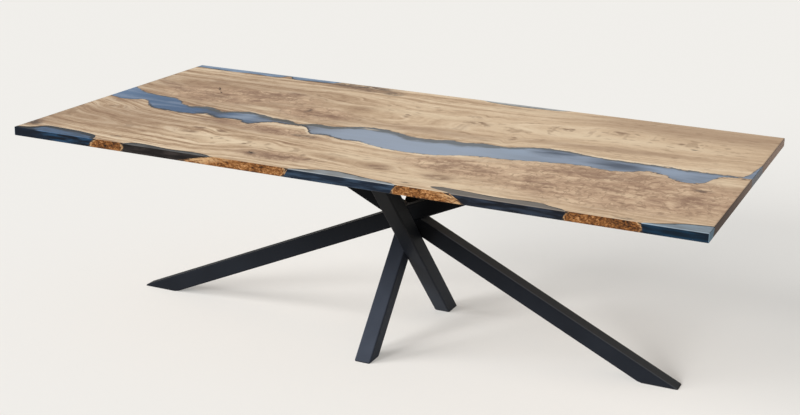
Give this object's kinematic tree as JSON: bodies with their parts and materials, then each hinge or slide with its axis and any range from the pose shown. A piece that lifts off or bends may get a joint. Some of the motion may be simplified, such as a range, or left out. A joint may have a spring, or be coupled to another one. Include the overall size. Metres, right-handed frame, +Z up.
{
  "type": "live edge dining table",
  "caption": "Dining table with a sawn-square top of live edge wood slabs cast around a river of milky blue resin, on crossing legs of black square steel tube",
  "frame": {"origin": "on the floor, under the middle of the top", "axes": "+X along the table, +Y towards its rear edge, +Z up"},
  "size_m": [2.4, 1.22, 0.75],
  "materials": {
    "slab_wood": "satin oil",
    "blue_resin": "satin polish",
    "black_steel": "fine matt powder coat",
    "black_felt": "pressed felt",
    "zinc_steel": "zinc plated",
    "insert_brass": "turned"
  },
  "bodies": {
    "root": {"front_slab": "slab_wood", "rear_slab": "slab_wood", "river_resin": "blue_resin", "front_left_corner_resin": "blue_resin", "front_dark_pocket_resin": "blue_resin", "front_middle_resin": "blue_resin", "front_right_resin": "blue_resin", "front_right_corner_resin": "blue_resin", "rear_left_resin": "blue_resin", "rear_middle_resin": "blue_resin", "left_leg": "black_steel", "right_leg_lower": "black_steel", "right_leg_upper": "black_steel", "rear_leg": "black_steel", "front_leg": "black_steel", "left_leg_top_plate": "black_steel", "right_leg_top_plate": "black_steel", "rear_leg_top_plate": "black_steel", "front_leg_top_plate": "black_steel", "left_leg_foot_cap": "black_steel", "right_leg_foot_cap": "black_steel", "rear_leg_foot_cap": "black_steel", "front_leg_foot_cap": "black_steel", "left_leg_foot_glide": "black_felt", "right_leg_foot_glide": "black_felt", "rear_leg_foot_glide": "black_felt", "front_leg_foot_glide": "black_felt", "plate_bolts": "zinc_steel", "plate_washers": "zinc_steel", "threaded_inserts": "insert_brass"}
  },
  "joints": []
}
